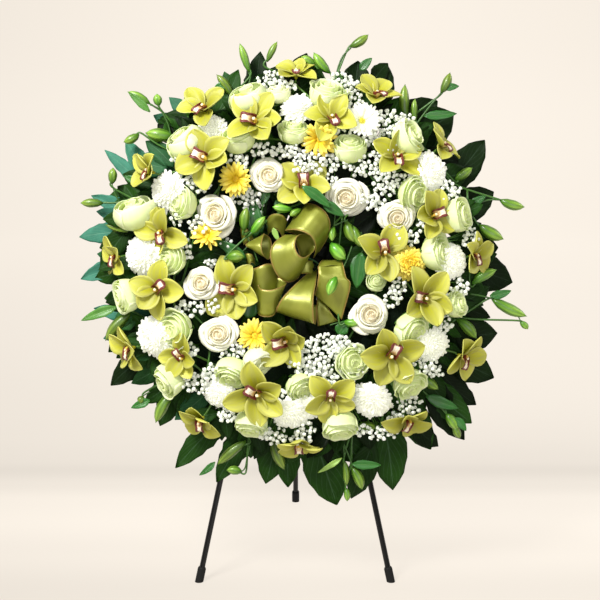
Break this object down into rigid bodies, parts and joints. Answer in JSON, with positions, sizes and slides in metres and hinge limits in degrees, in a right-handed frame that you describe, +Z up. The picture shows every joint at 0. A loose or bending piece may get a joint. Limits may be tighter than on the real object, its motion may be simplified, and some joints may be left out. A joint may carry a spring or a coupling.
{
  "type": "funeral wreath on easel",
  "caption": "Round wreath of mixed white, pale green and yellow flowers with a satin bow, on a black tripod easel whose rear leg folds.",
  "frame": {"origin": "on the floor, under the middle of the whole object's bounding box", "axes": "+Z up, the wreath faces -Y, +X to the right when seen from the front"},
  "size_m": [0.7778, 0.4906, 0.9492],
  "materials": {
    "black_steel": "satin black powder coat",
    "bare_steel": "plain zinc-plated pin",
    "foot_rubber": "matt",
    "tray_plastic": "moulded, fine grain",
    "floral_foam": "open-cell, soaked",
    "olive_satin": "satin ribbon with a wired golden edge",
    "coated_wire": "paper-covered florist wire",
    "leaf": "waxy leaf, lighter veins",
    "orchid_petal": "waxy petal",
    "pale_green_petal": "thin soft petal",
    "white_rose_petal": "velvety petal",
    "white_chrysanthemum_petal": "fine petal",
    "yellow_chrysanthemum_petal": "fine petal",
    "gypsophila_floret": "tiny papery floret",
    "green_bud": "smooth ribbed bud"
  },
  "bodies": {
    "wreath_and_frame": {"front_leg_left": "black_steel", "front_leg_right": "black_steel", "rest_peg_left": "black_steel", "rest_peg_right": "black_steel", "crossbar": "black_steel", "head_bracket": "black_steel", "hanging_hook": "black_steel", "hinge_pin": "bare_steel", "foot_cap_left": "foot_rubber", "foot_cap_right": "foot_rubber", "ring_tray": "tray_plastic", "foam_ring": "floral_foam", "ribbon_bow": "olive_satin", "bow_wire_pick": "coated_wire", "fatsia_leaf_1": "leaf", "fatsia_leaf_2": "leaf", "fatsia_leaf_3": "leaf", "fatsia_leaf_4": "leaf", "fatsia_leaf_5": "leaf", "fatsia_leaf_6": "leaf", "fatsia_leaf_7": "leaf", "centre_leaf_1": "leaf", "centre_leaf_2": "leaf", "cymbidium_spike_6": "orchid_petal", "cymbidium_spike_3": "orchid_petal", "cymbidium_spike_4": "orchid_petal", "lisianthus_stem_6": "pale_green_petal", "lisianthus_stem_7": "pale_green_petal", "cymbidium_spike_1": "orchid_petal", "cymbidium_spike_2": "orchid_petal", "cymbidium_spike_5": "orchid_petal", "lisianthus_stem_1": "pale_green_petal", "lisianthus_stem_4": "pale_green_petal", "white_chrysanthemum_stem_3": "white_chrysanthemum_petal", "lisianthus_stem_2": "pale_green_petal", "lisianthus_stem_3": "pale_green_petal", "lisianthus_stem_5": "pale_green_petal", "white_chrysanthemum_stem_1": "white_chrysanthemum_petal", "white_chrysanthemum_stem_2": "white_chrysanthemum_petal", "white_chrysanthemum_stem_4": "white_chrysanthemum_petal", "yellow_chrysanthemum_stem_1": "yellow_chrysanthemum_petal", "yellow_chrysanthemum_2": "yellow_chrysanthemum_petal", "yellow_chrysanthemum_3": "yellow_chrysanthemum_petal", "yellow_chrysanthemum_4": "yellow_chrysanthemum_petal", "white_rose_1": "white_rose_petal", "white_rose_2": "white_rose_petal", "white_rose_3": "white_rose_petal", "white_rose_4": "white_rose_petal", "white_rose_5": "white_rose_petal", "white_rose_6": "white_rose_petal", "white_rose_7": "white_rose_petal", "gypsophila_spray_1": "gypsophila_floret", "gypsophila_spray_2": "gypsophila_floret", "lily_bud_stem_1": "green_bud", "lily_bud_stem_2": "green_bud", "lily_bud_stem_3": "green_bud", "lily_bud_stem_4": "green_bud", "centre_bud_spray_1": "green_bud"},
    "rear_leg_body": {"rear_leg": "black_steel", "foot_cap_rear": "foot_rubber"}
  },
  "joints": [
    {"name": "rear_leg", "type": "hinge", "parent": "wreath_and_frame", "child": "rear_leg_body", "pos_m": [-0.0139, -0.00962, 0.71736], "axis": [1, 0, 0], "range_deg": [-30, 0]}
  ]
}
